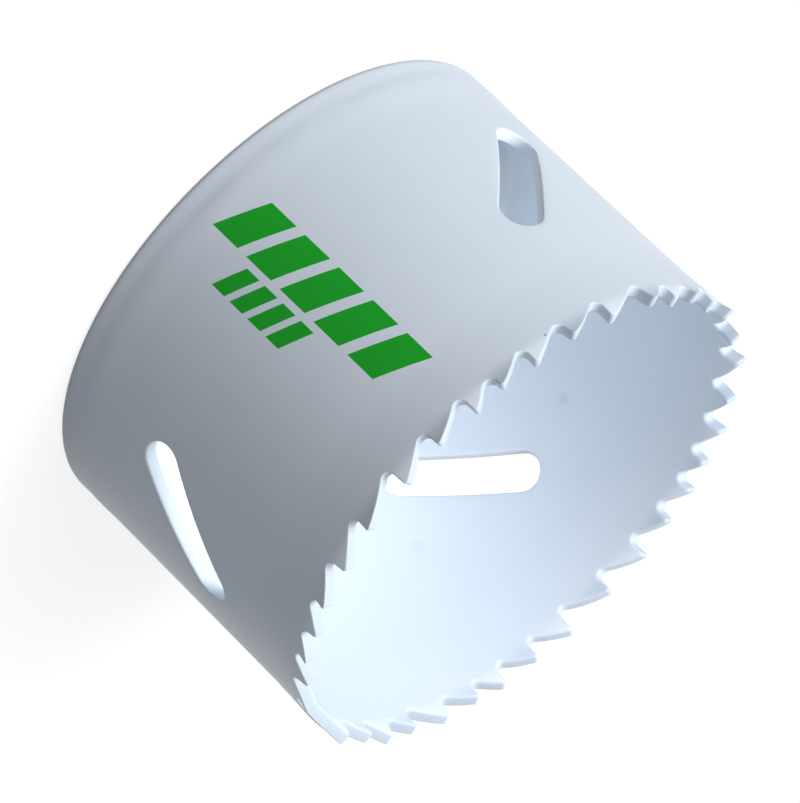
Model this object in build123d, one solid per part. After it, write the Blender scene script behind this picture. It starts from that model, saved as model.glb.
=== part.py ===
# Hole saw of 65 mm: a toothed steel cup with slug slots, welded to a threaded end plate.
# Millimetres. The origin is the centre of the closed end's outer face, +Z runs along
# the saw's axis to the teeth, and the cup stands on its closed end.
import os
from math import asin, atan2, cos, degrees, hypot, radians, sin, sqrt

from build123d import *

# Driving dimensions of the cup
BODY_RADIUS = 32.0
WALL = 1.6
OVERALL_HEIGHT = 42.7

# Teeth: the angle of the first rake face, and the gaps from each face to the next in degrees.
# The pitch swells and shrinks round the rim, so that the saw doesn't chatter.
FIRST_TOOTH_ANGLE = 1.1
TOOTH_GAPS = (9.6, 8.8, 7.2, 7.8, 11.8, 10.6, 9.5, 8.6, 6.8, 9.5, 9.8, 11.5, 10.3,
              9.4, 8.5, 7.3, 8.8, 9.8, 11.8, 11.5, 8.9, 8.7, 7.4, 10.5, 8.6, 7.7,
              9.0, 9.6, 11.6, 10.5, 9.4, 8.3, 7.8, 8.7, 10.2, 12.2, 10.2, 11.9)
GULLET_RADIUS = 0.82
GULLET_SHARE_OF_PITCH = 0.36
GULLET_LEAST_DEPTH = 0.3
RAKE_ANGLE = -1.8
BACK_RADIUS = 22.4
TIP_RADIUS = 0.38
TIP_LAND = 0.2
SET_OUT = 0.45
SET_IN = 0.2
SET_HEIGHT = 1.8

# Slight flare of the wall below the teeth
FLARE = 0.24
FLARE_START = 34.0

# Slug slots: the angle and height of each one's middle, as the punched strip closes round
SLOT_PLACES = ((32.7, 20.3), (145.5, 20.9), (267.5, 19.4))
SLOT_LENGTH = 14.2
SLOT_WIDTH = 5.2
SLOT_SLANT = 45.0

# End plate, its shoulder under the wall, and the dressed weld round it
PLATE_THICKNESS = 5.0
SHOULDER_HEIGHT = 2.2
RIM_SWELL = 0.14
SEAM_SWELL = 0.03
WELD_SWELL = 0.1
WELD_CREST_HEIGHT = 3.7
WELD_TOP_HEIGHT = 7.4
RIM_EDGE_RADIUS = 0.6
RIM_EDGE_FACETS = 3
SPIGOT_CLEARANCE = 0.05
SPIGOT_CHAMFER = 0.4

# Arbor hole, at the core size of its 5/8 inch thread, and the drive pin holes beside it
ARBOR_HOLE_RADIUS = 7.3
ARBOR_HOLE_CHAMFER = 0.7
PIN_HOLE_RADIUS = 3.3
PIN_CIRCLE_RADIUS = 12.7
PIN_HOLE_COUNT = 2
PIN_HOLE_CHAMFER = 0.3

# Margin by which a cutter passes what it cuts, and how far round a gap a gullet's cutter looks out
CUT_MARGIN = 1.0
CUTTER_TURN = 0.25
SMALL = 1e-6

INNER_RADIUS = BODY_RADIUS - WALL
SET_START = OVERALL_HEIGHT - SET_HEIGHT
CUT_START = INNER_RADIUS - SET_IN - CUT_MARGIN
CUT_END = BODY_RADIUS + FLARE + max(SET_OUT, RIM_SWELL, WELD_SWELL) + CUT_MARGIN


def tooth_angles():
    """Angle of each tooth's rake face round the rim."""
    scale = 360.0 / sum(TOOTH_GAPS)
    angles = [FIRST_TOOTH_ANGLE]
    for gap in TOOTH_GAPS[:-1]:
        angles.append(angles[-1] + gap * scale)
    return angles


def outward_plane(angle, height=0.0):
    """Plane just inside the wall that looks out at an angle: x along the rim, y up."""
    out = Vector(cos(radians(angle)), sin(radians(angle)), 0)
    along = Vector(-sin(radians(angle)), cos(radians(angle)), 0)
    return Plane(origin=out * CUT_START + Vector(0, 0, height), x_dir=along, z_dir=out)


def band():
    """Rolled wall up to the bend of the teeth, swollen at the weld and slightly flared on top."""
    with BuildSketch(Plane.XZ) as section:
        with BuildLine():
            Polyline(
                (INNER_RADIUS + FLARE, SET_START),
                (INNER_RADIUS, FLARE_START),
                (INNER_RADIUS, SHOULDER_HEIGHT),
                (BODY_RADIUS + SEAM_SWELL, SHOULDER_HEIGHT),
                (BODY_RADIUS + WELD_SWELL, WELD_CREST_HEIGHT),
                (BODY_RADIUS, WELD_TOP_HEIGHT),
                (BODY_RADIUS, FLARE_START),
                (BODY_RADIUS + FLARE, SET_START),
                close=True,
            )
        make_face()
    return revolve(section.sketch, Axis.Z)


def set_ring(offset):
    """Rim ring that leans out or in by the set, from the bend to the tips."""
    inner, outer = INNER_RADIUS + FLARE, BODY_RADIUS + FLARE
    with BuildSketch(Plane.XZ) as section:
        with BuildLine():
            Polyline(
                (inner, SET_START),
                (outer, SET_START),
                (outer + offset, OVERALL_HEIGHT),
                (inner + offset, OVERALL_HEIGHT),
                close=True,
            )
        make_face()
    return revolve(section.sketch, Axis.Z)


def tooth_sector(start, end):
    """Wedge from the axis that holds one tooth, between two angles."""
    corners = [(0, 0)]
    corners += [(CUT_END * cos(radians(angle)), CUT_END * sin(radians(angle))) for angle in (start, end)]
    with BuildSketch(Plane.XY.offset(SET_START - CUT_MARGIN)) as plan:
        Polygon(*corners, align=None)
    return extrude(plan.sketch, SET_HEIGHT + 2 * CUT_MARGIN)


def gullet_centre(pitch):
    """Centre of the gullet's round, measured from its rake face. A long pitch has a deep gullet."""
    depth = GULLET_LEAST_DEPTH + GULLET_SHARE_OF_PITCH * pitch
    rake = radians(RAKE_ANGLE)
    away = (GULLET_RADIUS - (depth - GULLET_RADIUS) * sin(rake)) / cos(rake)
    return away, OVERALL_HEIGHT - depth + GULLET_RADIUS


def tip_centre(face):
    """Centre of a tip's small round, whose rake face meets the tips' height at a given place."""
    rake = radians(RAKE_ANGLE)
    drop = sqrt(TIP_RADIUS**2 - (TIP_LAND / 2) ** 2)
    return face - (TIP_RADIUS + drop * sin(rake)) / cos(rake), OVERALL_HEIGHT - drop


def back_centre(gullet, tip):
    """Centre of a tooth's crowned back, which touches the gullet's round and the tip's."""
    reach = BACK_RADIUS - TIP_RADIUS
    across, down = gullet[0] - tip[0], gullet[1] - tip[1]
    span = hypot(across, down)
    along = (reach**2 - (BACK_RADIUS + GULLET_RADIUS) ** 2 + span**2) / (2 * span)
    aside = sqrt(reach**2 - along**2)
    return tip[0] + (along * across - aside * down) / span, tip[1] + (along * down + aside * across) / span


def gullet_cutter(angle, gap):
    """Space between two teeth: tip round, rake face, gullet, the next tooth's back and tip round."""
    turn = CUTTER_TURN * gap
    left = -BODY_RADIUS * sin(radians(turn))
    pitch = BODY_RADIUS * sin(radians(gap - turn)) - left
    away, height = gullet_centre(pitch)
    gullet = (left + away, height)
    tip, next_tip = tip_centre(left), tip_centre(left + pitch)
    back = back_centre(gullet, next_tip)
    foot = degrees(atan2(back[1] - gullet[1], back[0] - gullet[0]))
    shoulder = degrees(atan2(next_tip[1] - back[1], next_tip[0] - back[0]))
    land = degrees(asin(TIP_LAND / 2 / TIP_RADIUS))
    with BuildSketch(outward_plane(angle + turn)) as profile:
        with BuildLine():
            nose = CenterArc(tip, TIP_RADIUS, 90 - land, land - 90 - RAKE_ANGLE)
            root = CenterArc(gullet, GULLET_RADIUS, 180 - RAKE_ANGLE, 180 + RAKE_ANGLE + foot)
            Line(nose @ 1, root @ 0)
            CenterArc(back, BACK_RADIUS, 180 + foot, shoulder - 180 - foot)
            next_nose = CenterArc(next_tip, TIP_RADIUS, shoulder, 90 + land - shoulder)
            lift = Vector(0, CUT_MARGIN)
            Polyline(next_nose @ 1, next_nose @ 1 + lift, nose @ 0 + lift, nose @ 0)
        make_face()
    return extrude(profile.sketch, CUT_END - CUT_START)


def root_angle(angle, gap):
    """Angle of the bottom of the gullet after a tooth, where one tooth's set gives way to the next."""
    away, _ = gullet_centre(BODY_RADIUS * radians(gap))
    return angle + degrees(away / BODY_RADIUS)


def slot_cutter(angle, height):
    """Straight slot with round ends, slanted across the wall."""
    with BuildSketch(outward_plane(angle, height)) as profile:
        SlotCenterToCenter(SLOT_LENGTH, SLOT_WIDTH, rotation=SLOT_SLANT)
    return extrude(profile.sketch, CUT_END - CUT_START)


def toothed_shell():
    """Cup wall with its set teeth and slanted slug slots, as one piece."""
    angles = tooth_angles()
    gaps = [end - start for start, end in zip(angles, angles[1:] + [angles[0] + 360.0])]
    gullets = [gullet_cutter(angle, gap) for angle, gap in zip(angles, gaps)]
    roots = [root_angle(angle, gap) for angle, gap in zip(angles, gaps)]
    rings = [set_ring(SET_OUT), set_ring(-SET_IN)]
    teeth = []
    for index, end in enumerate(roots):
        start = roots[index - 1] if index else roots[-1] - 360.0
        tooth = rings[index % 2] & tooth_sector(start, end)
        teeth.append(tooth - [gullets[index - 1], gullets[index]])
    slots = [slot_cutter(angle, height) for angle, height in SLOT_PLACES]
    return band() - gullets + teeth - slots


def rim_edge(rim_radius):
    """Points of the plate's softened lower edge, from the flat face up to the rim."""
    turns = [radians(90.0 * step / RIM_EDGE_FACETS) for step in range(RIM_EDGE_FACETS + 1)]
    middle = rim_radius - RIM_EDGE_RADIUS
    return [(middle + RIM_EDGE_RADIUS * sin(turn), RIM_EDGE_RADIUS * (1 - cos(turn))) for turn in turns]


def end_plate():
    """Thick plate with a shoulder for the wall, a spigot inside it and the arbor's holes."""
    rim_radius = BODY_RADIUS + RIM_SWELL
    spigot_radius = INNER_RADIUS - SPIGOT_CLEARANCE
    with BuildSketch(Plane.XZ) as section:
        with BuildLine():
            Polyline(
                (ARBOR_HOLE_RADIUS, 0),
                *rim_edge(rim_radius),
                (BODY_RADIUS + SEAM_SWELL, SHOULDER_HEIGHT),
                (spigot_radius, SHOULDER_HEIGHT),
                (spigot_radius, PLATE_THICKNESS - SPIGOT_CHAMFER),
                (spigot_radius - SPIGOT_CHAMFER, PLATE_THICKNESS),
                (ARBOR_HOLE_RADIUS, PLATE_THICKNESS),
                close=True,
            )
        make_face()
    plate = revolve(section.sketch, Axis.Z)
    plate = chamfer(hole_mouths(plate, ARBOR_HOLE_RADIUS), ARBOR_HOLE_CHAMFER)
    for spot in PolarLocations(PIN_CIRCLE_RADIUS, PIN_HOLE_COUNT):
        plate -= spot * Cylinder(PIN_HOLE_RADIUS, 2 * (PLATE_THICKNESS + CUT_MARGIN))
    return chamfer(hole_mouths(plate, PIN_HOLE_RADIUS), PIN_HOLE_CHAMFER)


def hole_mouths(solid, radius):
    """Round edges of a given radius on the two faces of the plate."""
    rounds = [edge for edge in solid.edges().filter_by(GeomType.CIRCLE) if abs(edge.radius - radius) < SMALL]
    return [edge for edge in rounds if min(abs(edge.center().Z - z) for z in (0, PLATE_THICKNESS)) < SMALL]


def main():
    os.makedirs("parts", exist_ok=True)
    export_step(toothed_shell(), "parts/toothed_shell.step")
    export_step(end_plate(), "parts/end_plate.step")


main()
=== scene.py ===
"""Looks of an enamelled hole saw: the toothed cup, its threaded end plate and the stage round them.

Metres throughout. The saw stands on its closed end, +Z runs to the teeth, and every surface is
worked out with numpy as a closed skin over the construction model.
"""

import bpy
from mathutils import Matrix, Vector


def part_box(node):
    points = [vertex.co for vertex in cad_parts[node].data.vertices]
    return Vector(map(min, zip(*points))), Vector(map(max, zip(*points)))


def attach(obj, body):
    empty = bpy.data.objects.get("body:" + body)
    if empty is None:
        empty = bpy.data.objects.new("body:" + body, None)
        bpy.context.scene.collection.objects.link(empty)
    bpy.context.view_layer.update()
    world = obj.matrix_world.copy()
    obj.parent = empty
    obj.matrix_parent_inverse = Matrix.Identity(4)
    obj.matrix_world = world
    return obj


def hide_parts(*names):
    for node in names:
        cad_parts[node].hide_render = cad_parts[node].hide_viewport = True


bl_info = {
    "name": "Hole saw",
    "version": (1, 0, 0),
    "blender": (4, 5, 0),
    "location": "3D View > Sidebar > Hole saw",
    "description": "Builds the enamelled skins of a hole saw round its construction model",
    "category": "Add Mesh",
}

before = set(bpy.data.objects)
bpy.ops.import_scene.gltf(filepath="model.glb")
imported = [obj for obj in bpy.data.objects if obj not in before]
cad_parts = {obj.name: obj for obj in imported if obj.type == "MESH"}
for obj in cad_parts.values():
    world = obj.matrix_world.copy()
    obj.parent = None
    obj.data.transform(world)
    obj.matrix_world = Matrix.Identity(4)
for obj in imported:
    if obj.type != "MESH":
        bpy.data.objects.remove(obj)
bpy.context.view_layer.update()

from math import cos, pi, radians, sin, tau

import bmesh
import bpy
import numpy as np
from bpy.props import FloatProperty, FloatVectorProperty, IntProperty, PointerProperty
from mathutils import Matrix, Vector

SHELL_LOW, SHELL_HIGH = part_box("toothed_shell")
PLATE_LOW, PLATE_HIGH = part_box("end_plate")
MM = 0.001

# The gaps from each tooth's rake face to the next, in degrees round the rim
TOOTH_GAPS = np.array((
    9.6, 8.8, 7.2, 7.8, 11.8, 10.6, 9.5, 8.6, 6.8, 9.5, 9.8, 11.5, 10.3,
    9.4, 8.5, 7.3, 8.8, 9.8, 11.8, 11.5, 8.9, 8.7, 7.4, 10.5, 8.6, 7.7,
    9.0, 9.6, 11.6, 10.5, 9.4, 8.3, 7.8, 8.7, 10.2, 12.2, 10.2, 11.9,
))
# The slots' middles: the angle in degrees and the height
SLOT_PLACES = ((32.7, 20.3 * MM), (145.5, 20.9 * MM), (267.5, 19.4 * MM))

# Height of the wall's seat on the plate
SEAT = PLATE_LOW.z + 2.2 * MM

# Samples along each part of a tooth's outline, and rows below the teeth
NOSE_STEPS = 6
FACE_STEPS = 4
ROOT_STEPS = 14
BACK_STEPS = 8
SHOULDER_STEPS = 4
BLEND_STEPS = 9
# Angles across an edge that is rounded by a quarter circle
ROUND_STEPS = 5
QUARTER_TURNS = 0.5 * pi * np.arange(ROUND_STEPS + 1) / ROUND_STEPS
# Columns of the teeth that run together into one column of the wall
COLUMNS_MERGED = 4
# Rows beside the outline, as shares of the tips' radius
EDGE_ROWS = np.array((0.0, 0.03, 0.12, 0.26, 0.46, 0.68))
# Drift of the columns below a tip, as a share of the pitch, and below a gullet, as a share of that
TIP_DRIFT = 0.22
GULLET_DRIFT = 0.3
# Powers by which the rows below the teeth are spaced, the set grows and the wall leans out
BLEND_POWER = 1.4
SET_POWER = 1.6
FLARE_POWER = 1.4
# Least distance that the outline's integral is worked out for
NEAREST = 0.001 * MM
# Heights at which the teeth's columns begin and at which they have run together
WALL_TOP = 38.4 * MM
MERGE_HEIGHT = 37.6 * MM
# Rows of the weld up to its crest and down again, and of the wall between the slots and the teeth
WELD_RISE_ROWS = 5
WELD_FALL_ROWS = 6
ABOVE_ROWS = 6
# Waves of the dressed weld round the axis, and the shift of the first ones in radians
WELD_WAVES = (13.0, 5.0)
WELD_START = 0.7

# The slots' windows: the heights between which they lie, their half width, rows and rings
WINDOW_LOW = 10.5 * MM
WINDOW_HIGH = 30.5 * MM
WINDOW_HALF = radians(17.3)
WINDOW_ROWS = 28
RING_STEPS = 6
# Power of the count by which the rings round a slot widen towards the window
RING_POWER = 1.3
# Part of a quarter's count that the slot's straight side takes
SLOT_SIDE = 0.4

# Columns of the plate, and rows of its rim and its thread
PLATE_COLUMNS = 192
PLATE_RIM_ROWS = 6
THREAD_ROWS = 56
# Pin holes' windows: their radii, first row, rows, and columns on each side of their middles
PIN_WINDOW_IN = 8.6 * MM
PIN_WINDOW_OUT = 16.8 * MM
PIN_FIRST_ROW = 2
PIN_ROWS = 6
PIN_COLUMNS = 12
# Rings between a pin hole's mouth and its window, as shares of the way
PIN_RINGS = (0.6, 0.25)
# Width of the plate's first ring round the thread's mouth
MOUTH_RING = 0.25 * MM
# Shares of the rim's radius and of the plate's thickness at which the skin has a further row
FACE_SHARE = 0.75
SPIGOT_SHARE = 0.6
# Flat crest of the thread and its slope, as shares of half a pitch
THREAD_CREST = 0.14
THREAD_SLOPE = 0.72

# Angle from which an edge is shaded sharp
SHARP_ANGLE = radians(48.0)

# Enamel's skin: width and relief of the orange peel, and of the slow sag under it
ENAMEL_SKIN = {"Peel_size": 0.9 * MM, "Peel_height": 0.01, "Sag_size": 9.0 * MM, "Sag_height": 0.06}
BUMP_STRENGTH = 0.35
BUMP_DISTANCE = 1.0 * MM
# How much the roughness changes over the enamel, and the enamel's refractive index
ROUGHNESS_CHANGE = 0.08
ENAMEL_IOR = 1.3

# Printed rows: first and last angle in degrees, lowest height, step, bars and a bar's share of a step
BAR_ROWS = (
    (80.0, 91.0, 8.2 * MM, 5.6 * MM, 5, 0.74),
    (92.5, 99.5, 11.8 * MM, 3.0 * MM, 4, 0.70),
)
# How far a bar sinks in one radian round the wall
BAR_SLANT = 16.0 * MM
# Radius that parts the wall's outer face from its inner one
OUTSIDE_RADIUS = 31.4 * MM

# Marks of use: angle in degrees, distance from the axis, height, size and strength
SPECKS = (
    (61.16, 32.1 * MM, 40.79 * MM, 0.13 * MM, 0.70),
    (-64.31, 30.4 * MM, 23.21 * MM, 0.50 * MM, 0.08),
    (-111.09, 30.4 * MM, 22.47 * MM, 0.50 * MM, 0.05),
)

# Tool marks on the bare steel: how often they come along each axis, and how dark they are
TOOL_MARKS = (200.0, 200.0, 6000.0)
TOOL_MARK_SHADE = 0.7
# Least roughness of the bare steel, and how much more it has in the tool marks
STEEL_ROUGHNESS = 0.25
STEEL_ROUGHNESS_CHANGE = 0.2

# Floor: its radius in metres, its corners, and its gap under the closed end, against flicker
FLOOR_RADIUS = 1.6
FLOOR_CORNERS = 96
FLOOR_GAP = 0.02 * MM
# The floor as the camera sees it: a grey that takes the shadow, and a glow up to white
FLOOR_PALE = (0.2, 0.2, 0.2)
FLOOR_GLOW = 0.84
# Width of the lamps and their distance from the saw's middle, in metres
LAMP_SIZE = 0.6
LAMP_DISTANCE = 1.1
# Point that the camera looks at, beside the axis at about half the saw's height
CAMERA_AIM = Vector((-0.226 * MM, 0.0, 21.055 * MM))
# Camera's sensor in millimetres, and the least distance that it sees, in metres
SENSOR_WIDTH = 36.0
NEAREST_SEEN = 0.01


def length(name, millimetres, description):
    """A size given in millimetres, which the sidebar shows in the scene's units."""
    return FloatProperty(
        name=name, description=description, default=millimetres * MM, unit="LENGTH", precision=5)


def angle(name, degrees_default, description):
    """An angle that the sidebar shows in degrees."""
    return FloatProperty(
        name=name, description=description, default=radians(degrees_default), subtype="ANGLE")


def share(name, default, description):
    """A plain number between nought and one."""
    return FloatProperty(
        name=name, description=description, default=default, min=0.0, max=1.0, subtype="FACTOR")


def power(name, default, description):
    """A lamp's power in watts."""
    return FloatProperty(name=name, description=description, default=default, unit="POWER")


def colour(name, default, description):
    """A colour, in linear values."""
    return FloatVectorProperty(
        name=name, description=description, default=default, size=3, min=0.0, max=1.0,
        subtype="COLOR")


class ShellSizes(bpy.types.PropertyGroup):
    """Sizes of the toothed cup."""

    radius: length("Body radius", 32.0, "Outer radius of the wall")
    wall: length("Wall", 1.6, "Thickness of the wall")
    first_tooth: angle("First tooth", 1.1, "Angle of the first rake face from +X")
    tip_radius: length("Tip radius", 0.38, "Round at each tooth's tip")
    rake: angle("Rake", -1.8, "Lean of the rake faces under the tips")
    gullet_radius: length("Gullet radius", 0.82, "Round at the bottom of each gullet")
    gullet_least: length("Least gullet depth", 0.3, "Gullet depth besides its share of the pitch")
    gullet_share: share("Gullet share", 0.36, "Further gullet depth, as a share of the pitch")
    back_radius: length("Back radius", 22.4, "Crown of the teeth's backs")
    set_out: length("Set out", 0.45, "How far every other tip leans out")
    set_in: length("Set in", 0.2, "How far the tips between lean in")
    set_height: length("Set height", 2.2, "Height under the tips at which the lean starts")
    flare: length("Flare", 0.24, "How far the wall leans out below the teeth")
    flare_start: length("Flare start", 34.0, "Height at which the wall starts to lean out")
    flare_end: length("Flare end", 40.9, "Height at which the lean has reached its full size")
    outer_round: length("Outer edge round", 0.16, "Round of the teeth's outer edges")
    inner_round: length("Inner edge round", 0.42, "Round of the teeth's inner edges")
    slot_length: length("Slot length", 14.2, "Slug slot between the centres of its ends")
    slot_width: length("Slot width", 4.96, "Width of the slug slots inside their enamel")
    slot_slant: angle("Slot slant", 45.0, "Slant of the slots against the rim")
    slot_round: length("Slot round", 0.25, "Round that the enamel gives the slots' edges")
    seam_swell: length("Seam swell", 0.03, "How far the wall stands out at its seat on the plate")
    weld_swell: length("Weld swell", 0.07, "How far the dressed weld stands out")
    weld_crest: length("Weld crest", 3.7, "Height of the weld's crest")
    weld_top: length("Weld top", 7.4, "Height where the weld has run out")
    weld_uneven: share("Weld unevenness", 0.45, "Share of its swell that the weld gains and loses")


class PlateSizes(bpy.types.PropertyGroup):
    """Sizes of the threaded end plate."""

    rim_swell: length("Rim swell", 0.07, "How far the plate's rim stands outside the wall")
    rim_round: length("Rim round", 0.6, "Round at the closed end's outer edge")
    spigot_clearance: length("Spigot clearance", 0.05, "Room between the spigot and the wall")
    corner_round: length("Corner round", 0.7, "Round of the enamel between plate and wall")
    thread_core: length("Thread core", 7.3, "Radius of the arbor thread's crests")
    thread_root: length("Thread root", 7.94, "Radius of the arbor thread's roots")
    thread_pitch: length("Thread pitch", 1.411, "Rise of the arbor thread in one turn")
    mouth: length("Thread mouth", 0.7, "Chamfer at each end of the thread")
    pin_radius: length("Pin hole radius", 3.3, "Radius of the drive pin holes")
    pin_circle: length("Pin circle", 12.7, "Distance of the pin holes from the axis")
    pin_mouth: length("Pin hole mouth", 0.3, "Chamfer of the pin holes")


class FinishSettings(bpy.types.PropertyGroup):
    """Colours and gloss of the finishes."""

    enamel: colour("Enamel", (0.825, 0.876, 0.93), "Colour of the enamel")
    enamel_shade: colour("Enamel shade", (0.805, 0.856, 0.91), "Colour where the enamel lies thinner")
    # Painted shade: a darker colour laid over the enamel on the teeth's edges
    painted_edge_shade: colour("Painted edge shade", (0.60, 0.66, 0.73), "Painted shade on the teeth's edges")
    print_green: colour("Print", (0.004, 0.40, 0.014), "Colour of the printed bars")
    speck: colour("Specks", (0.10, 0.11, 0.12), "Colour of the small marks")
    steel: colour("Steel", (0.32, 0.32, 0.33), "Colour of the bare thread")
    gloss: share("Roughness", 0.38, "Roughness of the enamel")


class StageSettings(bpy.types.PropertyGroup):
    """Floor, lamps and camera."""

    floor: colour("Floor", (0.20, 0.20, 0.20), "Light that the floor throws back at the saw")
    fill: colour("Fill", (0.226, 0.248, 0.268), "Light from all round")
    key_power: power("Key power", 9.4, "Power of the lamp beside the saw")
    key_colour: colour("Key colour", (0.76, 0.85, 0.925), "Colour of the lamp beside the saw")
    key_angle: angle("Key angle", 20.0, "Direction of that lamp round the saw's axis, from +X")
    key_height: angle("Key height", 52.0, "Height of that lamp above the floor")
    top_power: power("Top power", 7.3, "Power of the lamp above the saw")
    top_colour: colour("Top colour", (1.0, 0.965, 0.99), "Colour of the lamp above the saw")
    top_angle: angle("Top angle", 45.0, "Direction of that lamp round the saw's axis, from +X")
    top_height: angle("Top height", 66.0, "Height of that lamp above the floor")
    lift: angle("Camera height", 24.7136, "Angle of the camera above the floor")
    roll: angle("Camera roll", 134.1043, "Turn of the camera about its line of sight")
    distance: length("Camera distance", 627.511, "Camera to the middle of the saw")
    focal_pixels: FloatProperty(
        name="Focal length", description="Lens, in pixels of the frame below", default=5600.0)
    frame_pixels: IntProperty(
        name="Frame height", description="Long side of the image in pixels", default=803)


# Outlines

def teeth_outline(sizes, height):
    """Rim of the teeth, unrolled: place along the rim, height, direction into the metal, lean and base.

    Each tooth is one row of the arrays and runs from its tip to the next: a quarter of the tip's
    round, the straight rake face, the gullet's round, the crowned back and the rest of the next
    tip's round, every arc tangent to the next. The back's centre is where two circles meet, of
    the back's radius less the tip's about the tip's centre, and of both radii added up about the
    gullet's. The lean passes from one tooth's set to the next's round the gullet, as a smooth
    step. The base is where the column of points under a sample reaches the plain wall.
    """
    gaps = radians(360.0) * TOOTH_GAPS / TOOTH_GAPS.sum()
    faces = sizes.first_tooth + np.concatenate(([0.0], np.cumsum(gaps)[:-1]))
    pitch = (sizes.radius * gaps)[:, None]
    rake, tip, root, back = sizes.rake, sizes.tip_radius, sizes.gullet_radius, sizes.back_radius
    depth = sizes.gullet_least + sizes.gullet_share * pitch
    tip_x = -tip * (1.0 + sin(rake)) / cos(rake)
    tip_z = height - tip
    root_x = (root - (depth - root) * sin(rake)) / cos(rake)
    root_z = height - depth + root
    across, down = root_x - (pitch + tip_x), root_z - tip_z
    span = np.hypot(across, down)
    reach = back - tip
    along = (reach**2 - (back + root) ** 2 + span**2) / (2.0 * span)
    aside = np.sqrt(reach**2 - along**2)
    back_x = pitch + tip_x + (along * across - aside * down) / span
    back_z = tip_z + (along * down + aside * across) / span
    foot = np.arctan2(back_z - root_z, back_x - root_x)
    shoulder = np.arctan2(tip_z - back_z, pitch + tip_x - back_x)

    def arc(centre_x, centre_z, radius, start, end, steps, inward, first=0, last=1):
        """Points at the radius along an evenly turning angle, and the direction into the metal."""
        turn = start + (end - start) * np.arange(first, steps + last)[None, :] / steps
        side = -1.0 if inward else 1.0
        return (centre_x + radius * np.cos(turn), centre_z + radius * np.sin(turn),
                side * np.cos(turn), side * np.sin(turn))

    none = np.zeros_like(pitch)
    nose = arc(tip_x + none, tip_z + none, tip, pi / 2 + none, -rake + none, NOSE_STEPS, True)
    gullet = arc(root_x, root_z, root, pi - rake + none, tau + foot, ROOT_STEPS, False)
    steps = np.arange(1, FACE_STEPS)[None, :] / FACE_STEPS
    face = tuple(nose[i][:, -1:] * (1.0 - steps) + gullet[i][:, :1] * steps for i in range(4))
    crown = arc(back_x, back_z, back, pi + foot, shoulder, BACK_STEPS, True, first=1)
    rest = arc(pitch + tip_x, tip_z + none, tip, shoulder, pi / 2 + none, SHOULDER_STEPS, True,
               first=1, last=0)
    x, z, into_x, into_z = (
        np.concatenate(part, axis=1) for part in zip(nose, face, gullet, crown, rest))

    start, bottom = NOSE_STEPS + FACE_STEPS, NOSE_STEPS + FACE_STEPS + ROOT_STEPS
    place = np.arange(x.shape[1])[None, :]
    blend = np.clip((place - start) / ROOT_STEPS, 0.0, 1.0)
    blend = blend * blend * (3.0 - 2.0 * blend)
    tooth = np.arange(len(gaps))[:, None]
    own = np.where(tooth % 2 == 0, sizes.set_out, -sizes.set_in)
    lean = own * (1.0 - blend) + np.roll(own, -1, axis=0) * blend

    drift = TIP_DRIFT * pitch
    following = TIP_DRIFT * np.roll(pitch, -1, axis=0)
    stops = (0, start, bottom, x.shape[1])
    marks = (
        tip_x - drift,
        x[:, start:start + 1] - GULLET_DRIFT * drift,
        x[:, bottom:bottom + 1] - GULLET_DRIFT * following,
        pitch + tip_x - following,
    )
    spans = zip(stops[:-1], stops[1:], marks[:-1], marks[1:])
    base = np.concatenate(
        [low + (high - low) * np.arange(b - a)[None, :] / (b - a) for a, b, low, high in spans],
        axis=1)

    angles = faces[:, None] + x / sizes.radius
    bases = faces[:, None] + base / sizes.radius
    return tuple(part.ravel() for part in (angles, z, into_x / sizes.radius, into_z, lean, bases))


def slot_outline(steps_across, steps_up, sizes):
    """Points round a slanted slot and the normals there, counted in quarters from its lower end.

    A quarter runs between the apex of a round end and the middle of a straight side. The first
    part of its count is the straight side, and the rest turns evenly round the end.
    """
    half, wide, slant = sizes.slot_length / 2.0, sizes.slot_width / 2.0, sizes.slot_slant
    quarters = (
        (steps_across, True, -1, -1),
        (steps_up, False, 1, -1),
        (steps_across, True, 1, 1),
        (steps_up, False, -1, 1),
    )
    parts = []
    for steps, from_end, sign_u, sign_v in quarters:
        count = np.arange(steps) / steps
        count = 1.0 - count if from_end else count
        turn = 0.5 * pi * np.clip((count - SLOT_SIDE) / (1.0 - SLOT_SIDE), 0.0, 1.0)
        straight = half * np.clip(count / SLOT_SIDE, 0.0, 1.0)
        normal = np.stack((sign_u * np.sin(turn), sign_v * np.cos(turn)))
        middle = np.stack((sign_u * straight, 0.0 * turn))
        parts.append(np.concatenate((middle + wide * normal, normal)))
    u, v, normal_u, normal_v = np.concatenate(parts, axis=1)

    def slanted(across, up):
        """Places or directions turned by the slant."""
        return across * cos(slant) - up * sin(slant), across * sin(slant) + up * cos(slant)

    return (*slanted(u, v), *slanted(normal_u, normal_v))


def rim_distance(x, z, line_x, line_z):
    """Smooth distance of points from the teeth's outline, unrolled. One row for each tooth.

    Each straight piece of the outline adds the integral of one over the fourth power of the
    distance along it, and for an endless straight line the sum is half of pi over the cube of the
    distance. The cube root turns the sum back into a distance that has no ridge between two sides.
    """
    step_x, step_z = np.diff(line_x, axis=1), np.diff(line_z, axis=1)
    size = np.hypot(step_x, step_z)
    step_x, step_z = (step_x / size)[:, None, :], (step_z / size)[:, None, :]
    from_x = x[:, :, None] - line_x[:, None, :-1]
    from_z = z[:, :, None] - line_z[:, None, :-1]
    past = from_x * step_x + from_z * step_z
    aside = np.maximum(np.abs(from_x * step_z - from_z * step_x), NEAREST)

    def summed(s):
        """Integral from the foot of the perpendicular to a place along the piece."""
        return s / (2.0 * aside**2 * (aside**2 + s**2)) + np.arctan(s / aside) / (2.0 * aside**3)

    total = (summed(size[:, None, :] - past) - summed(-past)).sum(axis=2)
    return np.cbrt(0.5 * pi / total)


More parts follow.
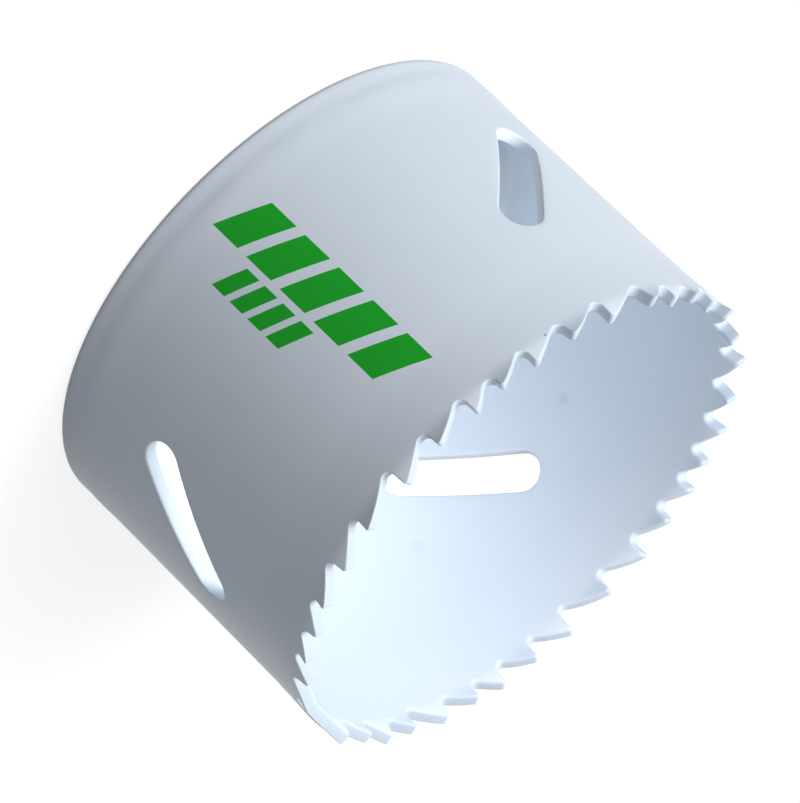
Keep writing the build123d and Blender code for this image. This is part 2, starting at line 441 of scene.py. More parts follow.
def rounded_depth(distance, radius):
    """Depth under the plain face at a distance from the edge: a quarter circle of the radius."""
    near = np.maximum(radius - distance, 0.0)
    return radius - np.sqrt(radius**2 - near**2)


def eased(value, places, levels):
    """Level at a value: half a cosine wave between two places, so that it is flat at each place."""
    at = np.interp(value, places, np.arange(len(places)))
    low = np.clip(np.floor(at).astype(int), 0, len(places) - 2)
    levels = np.asarray(levels)
    part = 0.5 - 0.5 * np.cos(pi * (at - low))
    return levels[low] * (1.0 - part) + levels[low + 1] * part


# Meshes

def turned(angles, radii, heights):
    """Points round the axis: the radius along each angle, and the height."""
    angles, radii, heights = np.broadcast_arrays(angles, radii, heights)
    return np.stack((radii * np.cos(angles), radii * np.sin(angles), heights), axis=-1)


def numbered(rows, used=0):
    """Vertex numbers of rows of points, counted on from those in use."""
    return used + np.arange(rows.shape[0] * rows.shape[1]).reshape(rows.shape[:2])


def grid_quads(index, closed_rows):
    """Corner numbers of the quads between neighbouring rows of closed rings of vertices."""
    below = index if closed_rows else index[:-1]
    above = np.roll(index, -1, axis=0) if closed_rows else index[1:]
    return np.stack((below, np.roll(below, -1, axis=1), np.roll(above, -1, axis=1), above), axis=-1)


def window_border(columns, low_row, high_row):
    """Vertices round a window of some columns, along its low row first, then round and back."""
    low = columns[low_row, :-1]
    right = columns[low_row:high_row, -1]
    high = columns[high_row, :0:-1]
    left = columns[high_row:low_row:-1, 0]
    return np.concatenate((low, right, high, left))


def fill_window(vertices, faces, border, rings, far_border):
    """Rings between the borders of two windows are added to the lists, with their quads."""
    index = numbered(rings, sum(len(part) for part in vertices))
    vertices.append(rings.reshape(-1, 3))
    loops = np.concatenate((border[None, :], index, far_border[None, :]))
    faces.append(grid_quads(loops, closed_rows=False).reshape(-1, 4))


def scene_object(name, data):
    """Object of a name in the scene's own collection."""
    item = bpy.data.objects.new(name, data)
    bpy.context.scene.collection.objects.link(item)
    return item


def solid_piece(name, points, faces, materials, bare=None, painted_shade_amount=None):
    """Closed mesh on the saw's body, its faces turned outwards and its smooth parts shaded so."""
    mesh = bpy.data.meshes.new(name)
    mesh.from_pydata(points, [], faces)
    for material in materials:
        mesh.materials.append(material)
    if bare is not None:
        mesh.polygons.foreach_set("material_index", bare.astype(np.int32))
    work = bmesh.new()
    work.from_mesh(mesh)
    bmesh.ops.recalc_face_normals(work, faces=work.faces)
    work.to_mesh(mesh)
    work.free()
    mesh.polygons.foreach_set("use_smooth", np.ones(len(mesh.polygons), dtype=bool))
    mesh.set_sharp_from_angle(angle=SHARP_ANGLE)
    # A point attribute of painted shade, which darkens the enamel on the teeth's edges
    if painted_shade_amount is not None:
        values = mesh.attributes.new("painted_shade_amount", "FLOAT", "POINT").data
        values.foreach_set("value", painted_shade_amount.astype(np.float32))
    mesh.update()
    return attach(scene_object(name, mesh), "root")


def rim_rows(sizes, height):
    """Rows of the teeth's zone, from the plain wall outside over the rim to the plain wall inside.

    Each column starts on the outline, goes into the tooth along the outline's normal, and then
    blends to its base on the plain wall. A quarter circle of the smooth distance from the outline
    takes the faces back at the edges. The set grows as a power of the height over its start. The
    second array is painted shade on the teeth's edges: one on the outline, nought beyond the edge's
    round.
    """
    angles, heights, into_angle, into_height, lean, bases = teeth_outline(sizes, height)
    teeth = len(TOOTH_GAPS)
    away = (EDGE_ROWS * sizes.tip_radius)[:, None]
    edge_angles, edge_heights = angles + away * into_angle, heights + away * into_height
    part = ((np.arange(1, BLEND_STEPS + 1) / BLEND_STEPS) ** BLEND_POWER)[:, None]
    all_angles = np.concatenate((edge_angles, edge_angles[-1] * (1.0 - part) + bases * part))
    all_heights = np.concatenate((edge_heights, edge_heights[-1] * (1.0 - part) + WALL_TOP * part))

    per_tooth = len(angles) // teeth
    round_x = sizes.radius * np.concatenate(
        (angles[-per_tooth:] - tau, angles, angles[:per_tooth + 1] + tau))
    round_z = np.concatenate((heights[-per_tooth:], heights, heights[:per_tooth + 1]))
    beside = np.arange(teeth)[:, None] * per_tooth + np.arange(3 * per_tooth + 1)[None, :]

    def by_tooth(rows):
        """Rows of columns made into one row of points for each tooth."""
        return rows.reshape(len(rows), teeth, per_tooth).transpose(1, 0, 2).reshape(teeth, -1)

    distance = rim_distance(
        by_tooth(all_angles * sizes.radius), by_tooth(all_heights), round_x[beside], round_z[beside])
    distance = distance.reshape(teeth, len(all_angles), per_tooth).transpose(1, 0, 2)
    distance = distance.reshape(all_angles.shape)
    distance[0] = 0.0
    start = height - sizes.set_height
    leaning = lean * (np.clip(all_heights - start, 0.0, None) / sizes.set_height) ** SET_POWER
    plain = sizes.radius + flared(sizes, all_heights) + leaning
    inner = plain - sizes.wall
    outside = turned(all_angles, plain - rounded_depth(distance, sizes.outer_round), all_heights)
    inside = turned(all_angles, inner + rounded_depth(distance, sizes.inner_round), all_heights)
    # Painted shade on the teeth's edges: one on the outline, fading to nought across the edge's round
    painted_shade_outside = np.clip(1.0 - distance / sizes.outer_round, 0.0, 1.0)
    painted_shade_inside = np.clip(1.0 - distance / sizes.inner_round, 0.0, 1.0)
    rows = np.concatenate((outside[::-1], inside))
    painted_shade_amount = np.concatenate((painted_shade_outside[::-1], painted_shade_inside))
    return rows, painted_shade_amount, bases[::COLUMNS_MERGED]


def flared(sizes, z):
    """How far the wall leans out at a height: a power of the share of the flare's height."""
    part = (z - sizes.flare_start) / (sizes.flare_end - sizes.flare_start)
    return sizes.flare * np.clip(part, 0.0, 1.0) ** FLARE_POWER


def merging_faces(fine, coarse):
    """Corner numbers of the faces between a row of many columns and a row of fewer."""
    first = np.arange(0, len(fine), COLUMNS_MERGED)[:, None]
    spans = (first + np.arange(COLUMNS_MERGED + 1)) % len(fine)
    return np.column_stack((fine[spans], np.roll(coarse, -1), coarse))


def wall_rows(sizes, bases):
    """Rows of the plain wall up the outside and down the inside, as two lists.

    The weld stands out by half cosine waves of the height, times one plus a share of two sines
    of the angle multiplied. The share is nought at the seat and full from the crest up.
    """
    inner = sizes.radius - sizes.wall
    rising = np.linspace(SEAT, sizes.weld_crest, WELD_RISE_ROWS)
    falling = np.linspace(sizes.weld_crest, sizes.weld_top, WELD_FALL_ROWS)[1:]
    weld = np.concatenate((rising, falling))
    places = (SEAT, sizes.weld_crest, sizes.weld_top)
    swell = eased(weld, places, (sizes.seam_swell, sizes.weld_swell, 0.0))
    seam = eased(weld, places[:2], (1.0, 0.0))
    waves = np.sin(WELD_WAVES[0] * bases + WELD_START) * np.sin(WELD_WAVES[1] * bases)
    uneven = 1.0 + sizes.weld_uneven * waves
    side = np.linspace(WINDOW_LOW, WINDOW_HIGH, WINDOW_ROWS + 1)
    above = np.linspace(WINDOW_HIGH, MERGE_HEIGHT, ABOVE_ROWS + 1)[1:]
    outside = [turned(bases, sizes.radius + out * (level + (1.0 - level) * uneven), z)
               for z, out, level in zip(weld, swell, seam)]
    outside += [turned(bases, sizes.radius + flared(sizes, z), z) for z in (*side, *above)]
    down = (*above[::-1], *side[::-1], PLATE_HIGH.z, SEAT)
    inside = [turned(bases, inner + flared(sizes, z), z) for z in down]
    return outside, inside


def slot_columns(bases, middle):
    """Columns of the wall whose angles lie within a slot's window, in order round the axis."""
    offset = (bases - middle + pi) % tau - pi
    inside_window = np.flatnonzero(np.abs(offset) < WINDOW_HALF)
    gap = np.flatnonzero(np.diff(inside_window) > 1)
    return np.roll(inside_window, -gap[0] - 1) if len(gap) else inside_window


def slot_rings(sizes, border, columns, middle, height):
    """Rings from a window's border to the slot's outline outside, through the wall and out inside.

    The rings between the border and the outline are spaced by a power of their count. Those at
    the outline follow a quarter circle into the wall.
    """
    spread = ((np.arange(RING_STEPS - 1, 0, -1) / RING_STEPS) ** RING_POWER)[:, None]
    away = (sizes.slot_round * (1.0 - np.sin(QUARTER_TURNS)))[:, None]
    depth = sizes.slot_round * (1.0 - np.cos(QUARTER_TURNS))
    depth = np.concatenate((np.zeros(RING_STEPS - 1), depth))[:, None]
    theta = np.arctan2(border[:, 1], border[:, 0]) - middle
    x, z, normal_x, normal_z = slot_outline(columns, WINDOW_ROWS, sizes)
    wide_x, wide_z = x + sizes.slot_round * normal_x, z + sizes.slot_round * normal_z
    rings = []
    for surface, side_sign in ((sizes.radius, -1.0), (sizes.radius - sizes.wall, 1.0)):
        edge_x, edge_z = surface * np.sin(theta), border[:, 2] - height
        ring_x = np.concatenate((wide_x + (edge_x - wide_x) * spread, x + away * normal_x))
        ring_z = np.concatenate((wide_z + (edge_z - wide_z) * spread, z + away * normal_z))
        level = surface + side_sign * depth
        fan = turned(middle + np.arcsin(ring_x / level), level, height + ring_z)
        rings.append(fan if side_sign < 0.0 else fan[::-1])
    return np.concatenate(rings)


def shell_mesh(sizes):
    """Skin of the cup: a grid that runs up the outside, over the teeth and down the inside.

    The teeth's columns run together by fours into the wall's. Each slot is a window of the wall's
    grid, filled with rings from the window's border to the slot's outline and through the wall.
    The third array is the painted shade at each vertex, which darkens the teeth's edges.
    """
    rim, painted_shade_mask, bases = rim_rows(sizes, SHELL_HIGH.z)
    outside, inside = wall_rows(sizes, bases)
    walls = np.stack(outside + inside)
    index = numbered(walls)
    quads = grid_quads(index, closed_rows=True)
    keep = np.ones(quads.shape[:2], dtype=bool)
    keep[len(outside) - 1] = False
    rim_index = numbered(rim, index.size)
    vertices = [walls.reshape(-1, 3), rim.reshape(-1, 3)]
    faces = [grid_quads(rim_index, closed_rows=False).reshape(-1, 4)]
    outer_merging = merging_faces(rim_index[0], index[len(outside) - 1])
    inner_merging = merging_faces(rim_index[-1], index[len(outside)])

    low_row = WELD_RISE_ROWS + WELD_FALL_ROWS - 1
    inner_row = len(outside) + ABOVE_ROWS
    lowest_inner = inner_row + WINDOW_ROWS
    for slot_angle, slot_height in SLOT_PLACES:
        middle = radians(slot_angle)
        columns = slot_columns(bases, middle)
        wide = index[:, columns]
        border = window_border(wide, low_row, low_row + WINDOW_ROWS)
        under = window_border(wide[::-1], len(walls) - 1 - lowest_inner, len(walls) - 1 - inner_row)
        keep[low_row:low_row + WINDOW_ROWS][:, columns[:-1]] = False
        keep[inner_row:lowest_inner][:, columns[:-1]] = False
        rings = slot_rings(sizes, vertices[0][border], len(columns) - 1, middle, slot_height)
        fill_window(vertices, faces, border, rings, under)
    faces.append(quads[keep])
    vertices = np.concatenate(vertices)
    # Painted shade: nought on the wall and round the slots, and the edges' values on the teeth's rows
    painted_shade_amount = np.zeros(len(vertices))
    painted_shade_amount[rim_index] = painted_shade_mask
    faces = np.concatenate(faces).tolist() + outer_merging.tolist() + inner_merging.tolist()
    return vertices, faces, painted_shade_amount


def plate_section(shell, sizes, top):
    """Half section of the plate, as rows of radius and height, from the thread's mouth and back.

    It runs out along the closed end, round the rim, over the shoulder, up the spigot, round the
    enamel in the corner and back along the inner face. The rounds are quarter circles.
    """
    mouth = sizes.thread_core + sizes.mouth
    wall = shell.radius - shell.wall
    spigot = wall - sizes.spigot_clearance
    rim = shell.radius + sizes.rim_swell
    rim_round, corner_round = sizes.rim_round, sizes.corner_round
    windows = np.linspace(PIN_WINDOW_IN, PIN_WINDOW_OUT, PIN_ROWS + 1)
    face_radii = np.concatenate(([mouth, mouth + MOUTH_RING], windows))
    rise = np.linspace(rim_round, SEAT, PLATE_RIM_ROWS)[1:]
    side = eased(rise, (rim_round, SEAT), (rim, shell.radius + shell.seam_swell))
    section = [(radius, 0.0) for radius in face_radii] + [(FACE_SHARE * rim, 0.0)]
    section += [
        (rim - rim_round + rim_round * sin(t), rim_round * (1.0 - cos(t))) for t in QUARTER_TURNS]
    section += list(zip(side, rise))
    section += [(spigot, SEAT), (spigot, SPIGOT_SHARE * top), (spigot, top)]
    section += [(wall - corner_round * (1.0 - cos(t)), top + corner_round * (1.0 - sin(t)))
                for t in QUARTER_TURNS]
    section += [(FACE_SHARE * rim, top)] + [(radius, top) for radius in face_radii[::-1]]
    return np.array(section)


def thread_rows(sizes, columns, top):
    """Rows of the arbor thread, from the inner face down to the closed end.

    The radius rises and falls as a flat-topped wave of the height over the pitch less the turn,
    and the mouths are cones.
    """
    heights = np.linspace(top, 0.0, THREAD_ROWS + 2)[1:-1][:, None]
    turns = heights / sizes.thread_pitch - columns[None, :] / tau
    wave = np.abs(2.0 * (turns % 1.0) - 1.0)
    cut = np.clip((wave - THREAD_CREST) / THREAD_SLOPE, 0.0, 1.0)
    ridge = sizes.thread_core + (sizes.thread_root - sizes.thread_core) * cut
    cone = sizes.thread_core + sizes.mouth - np.minimum(heights, top - heights)
    return turned(columns[None, :], np.maximum(ridge, cone), heights)


def pin_rings(sizes, border, centre, top):
    """Rings from a window's border to a pin hole's mouth, down through the plate and out again."""
    direction = np.arctan2(border[:, 1] - centre[1], border[:, 0] - centre[0])
    circle = np.stack((np.cos(direction), np.sin(direction)), axis=-1)
    mouth = sizes.pin_radius + sizes.pin_mouth

    def ring(radius, z, part=0.0):
        """Ring round the pin hole, moved towards the window's border by a part."""
        spot = (centre + radius * circle) * (1.0 - part) + border * part
        return np.column_stack((spot, np.full(len(spot), z)))

    rings = [ring(mouth, 0.0, part) for part in PIN_RINGS]
    rings += [ring(mouth, 0.0), ring(sizes.pin_radius, sizes.pin_mouth)]
    rings += [ring(sizes.pin_radius, top - sizes.pin_mouth), ring(mouth, top)]
    rings += [ring(mouth, top, part) for part in PIN_RINGS[::-1]]
    return np.stack(rings)


def plate_mesh(shell, sizes):
    """Skin of the end plate: one turned grid whose last rows are the thread, with two pin holes.

    Each pin hole is a window of the grid on both faces, filled with rings through the plate. The
    third array tells which faces are bare steel.
    """
    top = PLATE_HIGH.z
    section = plate_section(shell, sizes, top)
    columns = tau * np.arange(PLATE_COLUMNS) / PLATE_COLUMNS
    body = turned(columns[None, :], section[:, :1], section[:, 1:])
    points = np.concatenate((body, thread_rows(sizes, columns, top)))
    index = numbered(points)
    quads = grid_quads(index, closed_rows=True)
    keep = np.ones(quads.shape[:2], dtype=bool)
    bare = np.zeros(quads.shape[:2], dtype=bool)
    bare[len(section) - 1:] = True
    vertices, faces = [points.reshape(-1, 3)], []
    low, high = PIN_FIRST_ROW, PIN_FIRST_ROW + PIN_ROWS
    upper_low, upper_high = len(section) - 1 - high, len(section) - 1 - low
    for middle in (0, PLATE_COLUMNS // 2):
        near = np.arange(middle - PIN_COLUMNS, middle + PIN_COLUMNS + 1) % PLATE_COLUMNS
        wide = index[:, near]
        under = window_border(wide, low, high)
        over = window_border(wide[::-1], len(index) - 1 - upper_high, len(index) - 1 - upper_low)
        keep[low:high][:, near[:-1]] = False
        keep[upper_low:upper_high][:, near[:-1]] = False
        centre = np.array((sizes.pin_circle * cos(columns[middle]), 0.0))
        rings = pin_rings(sizes, vertices[0][under][:, :2], centre, top)
        fill_window(vertices, faces, under, rings, over)
    pins = np.concatenate(faces)
    bare = np.concatenate((bare[keep], np.zeros(len(pins), dtype=bool)))
    return np.concatenate(vertices), np.concatenate((quads[keep], pins)), bare


# Finishes

def feed(tree, value, socket):
    """A socket gets its value from another one by a link, or as a plain value."""
    if isinstance(value, bpy.types.NodeSocket):
        tree.links.new(value, socket)
    else:
        socket.default_value = value


def calc(tree, operation, *values):
    """Math node of one operation, fed by sockets or numbers. Gives its output."""
    node = tree.nodes.new("ShaderNodeMath")
    node.operation = operation
    for socket, value in zip(node.inputs, values):
        feed(tree, value, socket)
    return node.outputs[0]


def new_group(name, places, numbers, outputs):
    """Node group that takes places and numbers, with its tree and its two end nodes."""
    tree = bpy.data.node_groups.new(name, "ShaderNodeTree")
    new_socket = tree.interface.new_socket
    for label in places:
        new_socket(name=label, in_out="INPUT", socket_type="NodeSocketVector")
    for label, default in numbers.items():
        socket = new_socket(name=label, in_out="INPUT", socket_type="NodeSocketFloat")
        socket.default_value = default
    for label in outputs:
        new_socket(name=label, in_out="OUTPUT", socket_type="NodeSocketFloat")
    return tree, tree.nodes.new("NodeGroupInput"), tree.nodes.new("NodeGroupOutput")


def placed(tree, source, **values):
    """Node group placed in a tree with its own values: numbers, or sockets that are linked."""
    node = tree.nodes.new("ShaderNodeGroup")
    node.node_tree = source
    for label, value in values.items():
        feed(tree, value, node.inputs[label.replace("_", " ")])
    return node


def mixed(tree, mask, first, second):
    """Colour between two, by a mask."""
    node = tree.nodes.new("ShaderNodeMix")
    node.data_type = "RGBA"
    tree.links.new(mask, node.inputs["Factor"])
    for socket, value in ((node.inputs[6], first), (node.inputs[7], second)):
        feed(tree, value if isinstance(value, bpy.types.NodeSocket) else (*value, 1.0), socket)
    return node.outputs[2]


def enamel_skin_group():
    """Skin of sprayed enamel: fine orange peel and slow sag for the bump, and a change of cover."""
    tree, start, end = new_group(
        "enamel skin", ("Place",),
        {"Peel size": 0.001, "Peel height": 1.0, "Sag size": 0.01, "Sag height": 1.0},
        ("Height", "Cover"))
    heights = []
    for size, level, detail in (("Peel size", "Peel height", 2.0), ("Sag size", "Sag height", 1.0)):
        noise = tree.nodes.new("ShaderNodeTexNoise")
        noise.inputs["Detail"].default_value = detail
        tree.links.new(start.outputs["Place"], noise.inputs["Vector"])
        tree.links.new(calc(tree, "DIVIDE", 1.0, start.outputs[size]), noise.inputs["Scale"])
        heights.append(calc(tree, "MULTIPLY", noise.outputs[0], start.outputs[level]))
    tree.links.new(calc(tree, "ADD", *heights), end.inputs["Height"])
    tree.links.new(noise.outputs[0], end.inputs["Cover"])
    return tree


def bar_row_group():
    """Row of equal slanted bars printed round a cup's wall, as a mask from the place on the wall.

    The angle from the first one is the place across the row. The height over the lowest, plus the
    slant times that angle, is the place along it, and a bar fills the first part of each step.
    Nothing is printed within the least radius, so the wall's inner face stays bare.
    """
    tree, start, end = new_group(
        "bar row", ("Place",),
        {"First angle": 0.0, "Last angle": 1.0, "Low": 0.0, "Step": 0.01, "Count": 4.0, "Fill": 0.7,
         "Slant": 0.01, "Least radius": 0.0},
        ("Mask",))
    parts = tree.nodes.new("ShaderNodeSeparateXYZ")
    given = start.outputs
    tree.links.new(given["Place"], parts.inputs[0])
    x, y, z = parts.outputs
    turn = calc(tree, "ARCTAN2", y, x)
    across = calc(tree, "SUBTRACT", turn, given["First angle"])
    past = calc(tree, "GREATER_THAN", turn, given["Last angle"])
    squared = [calc(tree, "MULTIPLY", side, side) for side in (x, y)]
    radius = calc(tree, "SQRT", calc(tree, "ADD", *squared))
    outer = calc(tree, "GREATER_THAN", radius, given["Least radius"])
    between = calc(tree, "SUBTRACT", calc(tree, "GREATER_THAN", across, 0.0), past)
    band = calc(tree, "MULTIPLY", between, outer)
    along = calc(tree, "SUBTRACT", z, given["Low"])
    along = calc(tree, "ADD", along, calc(tree, "MULTIPLY", across, given["Slant"]))
    counted = calc(tree, "DIVIDE", along, given["Step"])
    bar = calc(tree, "LESS_THAN", calc(tree, "FRACT", counted), given["Fill"])
    begun = calc(tree, "GREATER_THAN", counted, 0.0)
    inside = calc(tree, "MULTIPLY", begun, calc(tree, "LESS_THAN", counted, given["Count"]))
    mask = calc(tree, "MULTIPLY", calc(tree, "MULTIPLY", bar, band), inside)
    tree.links.new(calc(tree, "MAXIMUM", mask, 0.0), end.inputs["Mask"])
    return tree


def speck_group():
    """Small soft mark: full within its size of a given spot, and gone at twice that size."""
    tree, start, end = new_group(
        "speck", ("Place", "Spot"), {"Size": 0.001, "Strength": 1.0}, ("Mask",))
    apart = tree.nodes.new("ShaderNodeVectorMath")
    apart.operation = "DISTANCE"
    tree.links.new(start.outputs["Place"], apart.inputs[0])
    tree.links.new(start.outputs["Spot"], apart.inputs[1])
    sizes_away = calc(tree, "DIVIDE", apart.outputs["Value"], start.outputs["Size"])
    near = calc(tree, "MAXIMUM", calc(tree, "SUBTRACT", 2.0, sizes_away), 0.0)
    near = calc(tree, "MINIMUM", near, 1.0)
    tree.links.new(calc(tree, "MULTIPLY", near, start.outputs["Strength"]), end.inputs["Mask"])
    return tree


def group(name, make):
    """Node group of a name, made the first time that it is asked for."""
    return bpy.data.node_groups.get(name) or make()


def new_material(name):
    """Material with its node tree and its shader."""
    material = bpy.data.materials.new(name)
    material.use_nodes = True
    return material, material.node_tree, material.node_tree.nodes["Principled BSDF"]


def enamel_material(name, finish, printed):
    """White enamel with its skin, and on the cup painted shade on the teeth's edges, the printed bars
    and the few marks of use.
    """
    material, tree, shader = new_material(name)
    place = tree.nodes.new("ShaderNodeTexCoord").outputs["Object"]
    skin = placed(tree, group("enamel skin", enamel_skin_group), Place=place, **ENAMEL_SKIN)
    base = mixed(tree, skin.outputs["Cover"], finish.enamel, finish.enamel_shade)
    if printed:
        # Painted shade: the enamel on the teeth's edges is darkened towards the edge colour by the
        # mesh's attribute
        painted_shade_mask = tree.nodes.new("ShaderNodeAttribute")
        painted_shade_mask.attribute_name = "painted_shade_amount"
        base = mixed(tree, painted_shade_mask.outputs["Fac"], base, finish.painted_edge_shade)
        bars = group("bar row", bar_row_group)
        for first, last, low, step, count, fill in BAR_ROWS:
            row = placed(
                tree, bars, Place=place, First_angle=radians(first), Last_angle=radians(last),
                Low=low, Step=step, Count=float(count), Fill=fill, Slant=BAR_SLANT,
                Least_radius=OUTSIDE_RADIUS)
            base = mixed(tree, row.outputs["Mask"], base, finish.print_green)
        specks = group("speck", speck_group)
        for turn, radius, z, size, strength in SPECKS:
            spot = (radius * cos(radians(turn)), radius * sin(radians(turn)), z)
            mark = placed(tree, specks, Place=place, Spot=spot, Size=size, Strength=strength)
            base = mixed(tree, mark.outputs["Mask"], base, finish.speck)
    tree.links.new(base, shader.inputs["Base Color"])
    least = finish.gloss - ROUGHNESS_CHANGE / 2.0
    rough = calc(tree, "MULTIPLY_ADD", skin.outputs["Cover"], ROUGHNESS_CHANGE, least)
    tree.links.new(rough, shader.inputs["Roughness"])
    shader.inputs["IOR"].default_value = ENAMEL_IOR
    bump = tree.nodes.new("ShaderNodeBump")
    bump.inputs["Strength"].default_value = BUMP_STRENGTH
    bump.inputs["Distance"].default_value = BUMP_DISTANCE
    tree.links.new(skin.outputs["Height"], bump.inputs["Height"])
    tree.links.new(bump.outputs["Normal"], shader.inputs["Normal"])
    return material


def steel_material(name, finish):
    """Bare cut steel of the thread, with fine tool marks round the axis."""
    material, tree, shader = new_material(name)
    shader.inputs["Metallic"].default_value = 1.0
    place = tree.nodes.new("ShaderNodeTexCoord").outputs["Object"]
    stretch = tree.nodes.new("ShaderNodeMapping")
    stretch.inputs["Scale"].default_value = TOOL_MARKS
    tree.links.new(place, stretch.inputs["Vector"])
    noise = tree.nodes.new("ShaderNodeTexNoise")
    noise.inputs["Scale"].default_value = 1.0
    tree.links.new(stretch.outputs["Vector"], noise.inputs["Vector"])
    darker = tuple(TOOL_MARK_SHADE * value for value in finish.steel)
    tree.links.new(mixed(tree, noise.outputs[0], finish.steel, darker), shader.inputs["Base Color"])
    rough = calc(tree, "MULTIPLY_ADD", noise.outputs[0], STEEL_ROUGHNESS_CHANGE, STEEL_ROUGHNESS)
    tree.links.new(rough, shader.inputs["Roughness"])
    return material


# Stage

def background_rays(tree):
    """One where a ray comes from the camera, a reflection or through glass, and nought elsewhere."""
    path = tree.nodes.new("ShaderNodeLightPath")
    seen = calc(tree, "MAXIMUM", path.outputs["Is Camera Ray"], path.outputs["Is Glossy Ray"])
    return calc(tree, "MAXIMUM", seen, path.outputs["Is Transmission Ray"])


def floor_piece(stage):
    """Round pale floor under the closed end: one ring of corners. It looks white, with a shadow."""
    turn = tau * np.arange(FLOOR_CORNERS) / FLOOR_CORNERS
    rim = turned(turn, FLOOR_RADIUS, PLATE_LOW.z - FLOOR_GAP)
    mesh = bpy.data.meshes.new("floor")
    mesh.from_pydata(rim, [], [list(range(FLOOR_CORNERS))])
    material, tree, _ = new_material("floor_paper")
    tree.nodes.clear()
    lit, pale = (tree.nodes.new("ShaderNodeBsdfDiffuse") for _ in range(2))
    lit.inputs["Color"].default_value = (*stage.floor, 1.0)
    pale.inputs["Color"].default_value = (*FLOOR_PALE, 1.0)
    glow = tree.nodes.new("ShaderNodeEmission")
    glow.inputs["Strength"].default_value = FLOOR_GLOW
    shown = tree.nodes.new("ShaderNodeAddShader")
    tree.links.new(pale.outputs[0], shown.inputs[0])
    tree.links.new(glow.outputs[0], shown.inputs[1])
    choice = tree.nodes.new("ShaderNodeMixShader")
    tree.links.new(background_rays(tree), choice.inputs[0])
    tree.links.new(lit.outputs[0], choice.inputs[1])
    tree.links.new(shown.outputs[0], choice.inputs[2])
    output = tree.nodes.new("ShaderNodeOutputMaterial")
    tree.links.new(choice.outputs[0], output.inputs["Surface"])
    mesh.materials.append(material)
    scene_object("floor", mesh)


def world_light(stage):
    """Even fill from all round, which the camera and reflections see as white."""
    world = bpy.data.worlds.new("studio")
    world.use_nodes = True
    bpy.context.scene.world = world
    tree = world.node_tree
    sky = tree.nodes["Background"]
    shown = mixed(tree, background_rays(tree), stage.fill, (1.0, 1.0, 1.0))
    tree.links.new(shown, sky.inputs["Color"])


def soft_lamp(name, watts, tint, level, rise):
    """Large soft lamp in a given direction from the saw, aimed at its middle."""
    lamp = bpy.data.lights.new(name, "AREA")
    lamp.shape = "DISK"
    lamp.size = LAMP_SIZE
    lamp.energy = watts
    lamp.color = tint
    holder = scene_object(name, lamp)
    away = Vector((cos(rise) * cos(level), cos(rise) * sin(level), sin(rise)))
    middle = Vector((0.0, 0.0, SHELL_HIGH.z / 2.0))
    holder.location = middle + LAMP_DISTANCE * away
    holder.rotation_euler = away.to_track_quat("Z", "Y").to_euler()


def camera(stage):
    """Camera on the +Y side that looks down at the middle of the saw and is rolled about its sight."""
    lens = bpy.data.cameras.new("view")
    lens.sensor_width = SENSOR_WIDTH
    lens.lens = lens.sensor_width * stage.focal_pixels / stage.frame_pixels
    lens.clip_start = NEAREST_SEEN
    holder = scene_object("view", lens)
    sight = Vector((0.0, -cos(stage.lift), -sin(stage.lift)))
    up = Vector((0.0, -sin(stage.lift), cos(stage.lift)))
    side = sight.cross(up)
    right = cos(stage.roll) * side + sin(stage.roll) * up
    head = -sin(stage.roll) * side + cos(stage.roll) * up
    turn = Matrix((right, head, -sight)).transposed()
    holder.matrix_world = Matrix.Translation(CAMERA_AIM - stage.distance * sight) @ turn.to_4x4()
    bpy.context.scene.camera = holder


# Operators

class SAW_OT_shell(bpy.types.Operator):
    """Build the toothed cup's enamelled skin over its construction model"""

    bl_idname = "saw.shell"
    bl_label = "Toothed cup"

    def execute(self, context):
        points, faces, painted_shade_amount = shell_mesh(context.scene.saw_shell)
        enamel = enamel_material("cup_enamel", context.scene.saw_finish, printed=True)
        piece = solid_piece("enamelled_cup", points, faces, [enamel], painted_shade_amount=painted_shade_amount)
        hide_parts("toothed_shell")
        return {"FINISHED"}


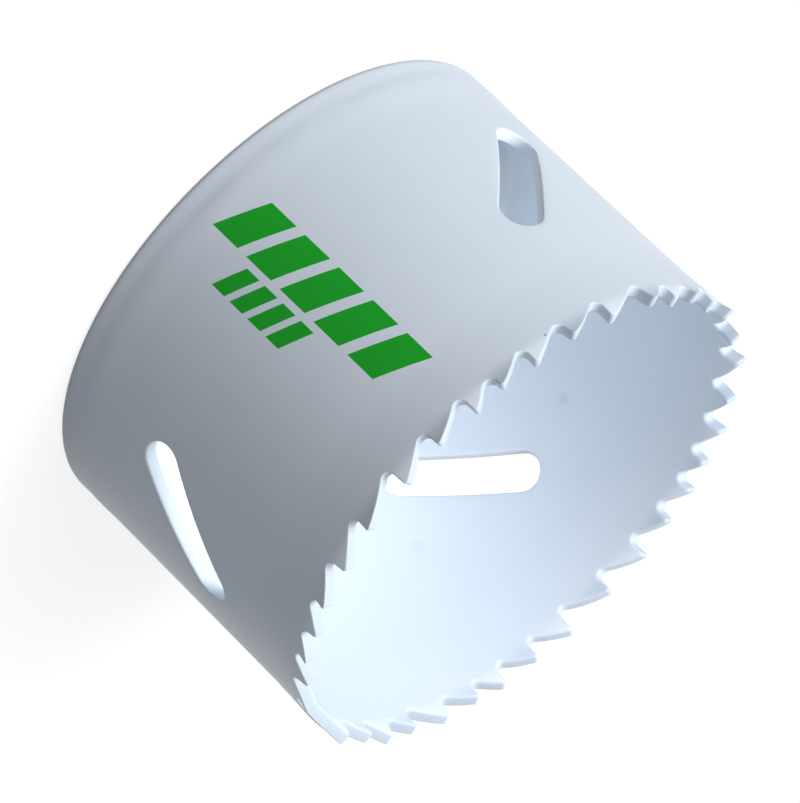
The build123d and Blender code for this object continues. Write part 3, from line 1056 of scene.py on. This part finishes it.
class SAW_OT_plate(bpy.types.Operator):
    """Build the threaded end plate's skin over its construction model"""

    bl_idname = "saw.plate"
    bl_label = "End plate"

    def execute(self, context):
        points, quads, bare = plate_mesh(context.scene.saw_shell, context.scene.saw_plate)
        finish = context.scene.saw_finish
        enamel = enamel_material("plate_enamel", finish, printed=False)
        steel = steel_material("thread_steel", finish)
        piece = solid_piece("enamelled_plate", points, quads, [enamel, steel], bare)
        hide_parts("end_plate")
        return {"FINISHED"}


class SAW_OT_stage(bpy.types.Operator):
    """Lay the pale floor, set the soft lamps and place the camera"""

    bl_idname = "saw.stage"
    bl_label = "Floor, lamps and camera"

    def execute(self, context):
        stage = context.scene.saw_stage
        floor_piece(stage)
        world_light(stage)
        soft_lamp("key", stage.key_power, stage.key_colour, stage.key_angle, stage.key_height)
        soft_lamp("top", stage.top_power, stage.top_colour, stage.top_angle, stage.top_height)
        camera(stage)
        context.scene.view_settings.view_transform = "Standard"
        return {"FINISHED"}


class SAW_PT_sidebar(bpy.types.Panel):
    """Sizes, finishes and stage of the hole saw"""

    bl_idname = "SAW_PT_sidebar"
    bl_label = "Hole saw"
    bl_space_type = "VIEW_3D"
    bl_region_type = "UI"
    bl_category = "Hole saw"

    def draw(self, context):
        for name, _, operator in SETTINGS:
            settings = getattr(context.scene, name)
            column = self.layout.box().column()
            for key in settings.bl_rna.properties.keys():
                if key not in ("rna_type", "name"):
                    column.prop(settings, key)
            if operator:
                column.operator(operator)


# Settings' names in the scene, their classes, and the operators shown below them
SETTINGS = (
    ("saw_shell", ShellSizes, "saw.shell"),
    ("saw_plate", PlateSizes, "saw.plate"),
    ("saw_finish", FinishSettings, None),
    ("saw_stage", StageSettings, "saw.stage"),
)
OPERATORS = (SAW_OT_shell, SAW_OT_plate, SAW_OT_stage)


def register():
    for name, settings, _ in SETTINGS:
        bpy.utils.register_class(settings)
        setattr(bpy.types.Scene, name, PointerProperty(type=settings))
    for operator in OPERATORS:
        bpy.utils.register_class(operator)
    bpy.utils.register_class(SAW_PT_sidebar)


def unregister():
    bpy.utils.unregister_class(SAW_PT_sidebar)
    for operator in reversed(OPERATORS):
        bpy.utils.unregister_class(operator)
    for name, settings, _ in reversed(SETTINGS):
        delattr(bpy.types.Scene, name)
        bpy.utils.unregister_class(settings)


def main():
    """Build every piece and the stage."""
    register()
    bpy.ops.saw.shell()
    bpy.ops.saw.plate()
    bpy.ops.saw.stage()


if __name__ == "__main__":
    main()
